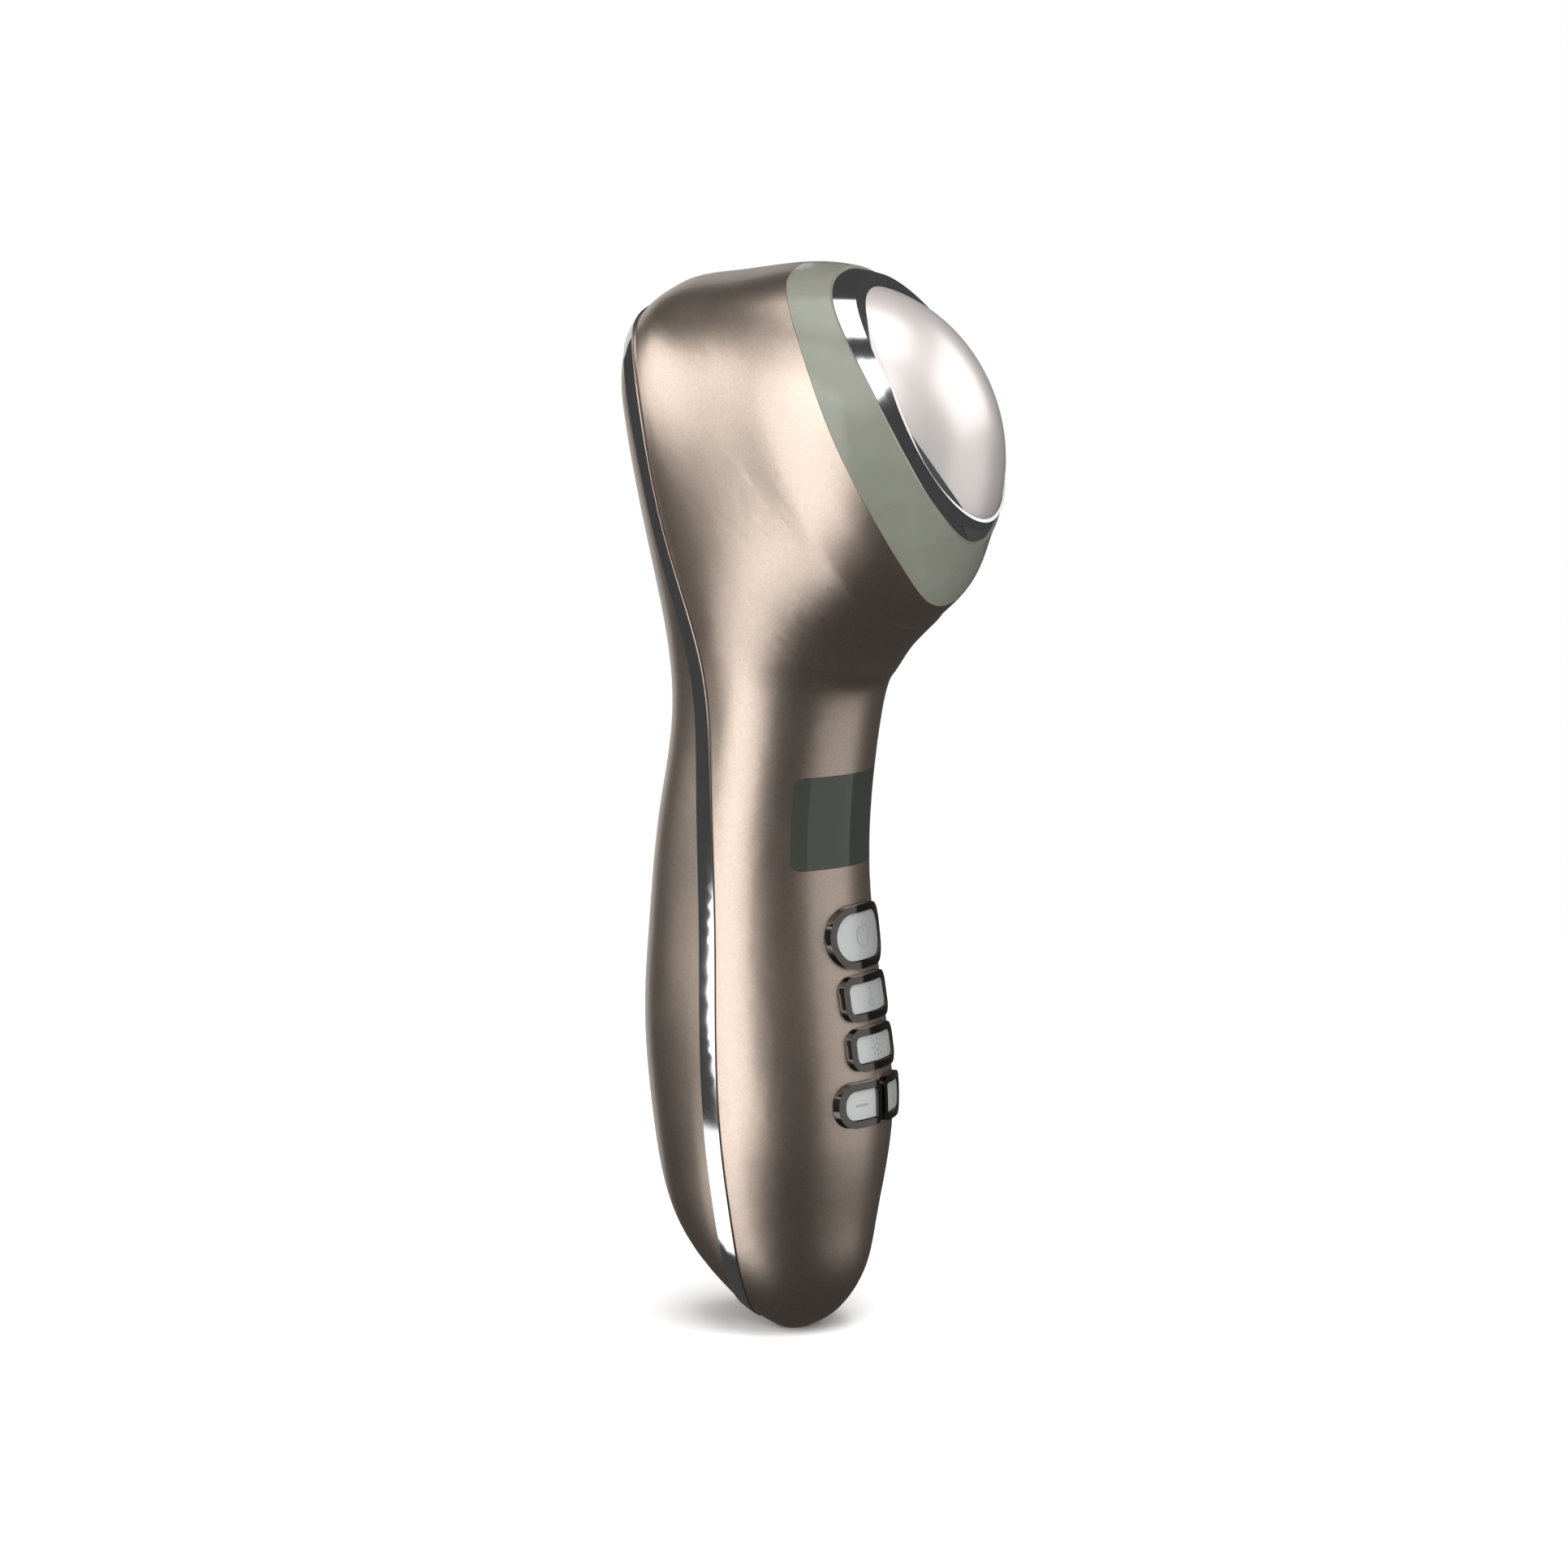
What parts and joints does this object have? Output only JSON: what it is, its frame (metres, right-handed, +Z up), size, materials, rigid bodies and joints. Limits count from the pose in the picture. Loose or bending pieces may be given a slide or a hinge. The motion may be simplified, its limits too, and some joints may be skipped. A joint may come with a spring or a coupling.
{
  "type": "facial massager",
  "caption": "Handheld hot and cold vibrating facial massager with a domed metal head, light ring, small display and push buttons on the grip.",
  "frame": {"origin": "middle of the grip, on the axis of the handle", "axes": "+Z up along the handle to the head, -Y the front with the buttons and dome, +X to the right seen from the front"},
  "size_m": [0.05, 0.0695, 0.1872],
  "materials": {
    "champagne_shell": "satin metallic paint",
    "chrome_trim": "polished",
    "light_ring": "translucent gloss",
    "polished_dome": "polished",
    "display_window": "smoked gloss",
    "display_panel": "glossy",
    "white_plastic": "matte",
    "pellets": "matte",
    "silver_button": "satin",
    "button_chrome": "polished",
    "black_plastic": "matte",
    "plunger_plastic": "matte",
    "circuit_board": "solder mask",
    "chip_black": "moulded",
    "capacitor_can": "drawn can",
    "screw_steel": "plated",
    "cell_wrap": "shrink wrap",
    "inner_plastic": "moulded",
    "socket_metal": "nickel plated",
    "cast_aluminium": "extruded",
    "seal_rubber": "matte",
    "lead_rubber": "insulated",
    "lamp_epoxy": "clear cast",
    "motor_steel": "drawn can",
    "weight_brass": "machined",
    "sensor_epoxy": "cast bead"
  },
  "bodies": {
    "case": {"battery_cell": "cell_wrap", "battery_cradle": "inner_plastic", "battery_leads": "lead_rubber", "board_screws": "screw_steel", "case_screws": "screw_steel", "charging_socket": "socket_metal", "controller_chip": "chip_black", "cooler_cold_plate": "white_plastic", "cooler_hot_plate": "white_plastic", "cooler_pellets": "pellets", "cooler_transistors": "chip_black", "display_backlight": "white_plastic", "display_panel": "display_panel", "display_window": "display_window", "dome_seal": "seal_rubber", "filter_capacitors": "capacitor_can", "front_shell": "champagne_shell", "head_bezel": "chrome_trim", "head_frame": "inner_plastic", "head_leads": "lead_rubber", "heat_sink": "cast_aluminium", "heat_sink_screws": "screw_steel", "lamp_board": "circuit_board", "lamps": "lamp_epoxy", "light_button_ring": "button_chrome", "light_ring": "light_ring", "light_switch": "black_plastic", "main_board": "circuit_board", "minus_button_ring": "button_chrome", "minus_switch": "black_plastic", "motor_bracket": "inner_plastic", "motor_can": "motor_steel", "plus_button_ring": "button_chrome", "plus_switch": "black_plastic", "power_button_ring": "button_chrome", "power_switch": "black_plastic", "rear_shell": "champagne_shell", "side_trim": "chrome_trim", "socket_leads": "lead_rubber", "temperature_button_ring": "button_chrome", "temperature_sensor": "sensor_epoxy", "temperature_switch": "black_plastic", "treatment_dome": "polished_dome"},
    "power_key": {"power_button": "silver_button", "power_plunger": "plunger_plastic"},
    "temperature_key": {"temperature_button": "silver_button", "temperature_plunger": "plunger_plastic"},
    "light_key": {"light_button": "silver_button", "light_plunger": "plunger_plastic"},
    "minus_key": {"minus_button": "silver_button", "minus_plunger": "plunger_plastic"},
    "plus_key": {"plus_button": "silver_button", "plus_plunger": "plunger_plastic"},
    "motor_rotor": {"motor_shaft": "screw_steel", "eccentric_weight": "weight_brass"}
  },
  "joints": [
    {"name": "power_press", "type": "slide", "parent": "case", "child": "power_key", "axis": [0, 1, 0], "range_m": [0, 0.0005], "stiffness_N_per_m": 600},
    {"name": "temperature_press", "type": "slide", "parent": "case", "child": "temperature_key", "axis": [0, 1, 0], "range_m": [0, 0.0005], "stiffness_N_per_m": 600},
    {"name": "light_press", "type": "slide", "parent": "case", "child": "light_key", "axis": [0, 1, 0], "range_m": [0, 0.0005], "stiffness_N_per_m": 600},
    {"name": "minus_press", "type": "slide", "parent": "case", "child": "minus_key", "axis": [0, 1, 0], "range_m": [0, 0.0005], "stiffness_N_per_m": 600},
    {"name": "plus_press", "type": "slide", "parent": "case", "child": "plus_key", "axis": [0, 1, 0], "range_m": [0, 0.0005], "stiffness_N_per_m": 600},
    {"name": "motor_spin", "type": "hinge", "parent": "case", "child": "motor_rotor", "pos_m": [0, 0.006, 0.084], "axis": [1, 0, 0], "continuous": true}
  ]
}
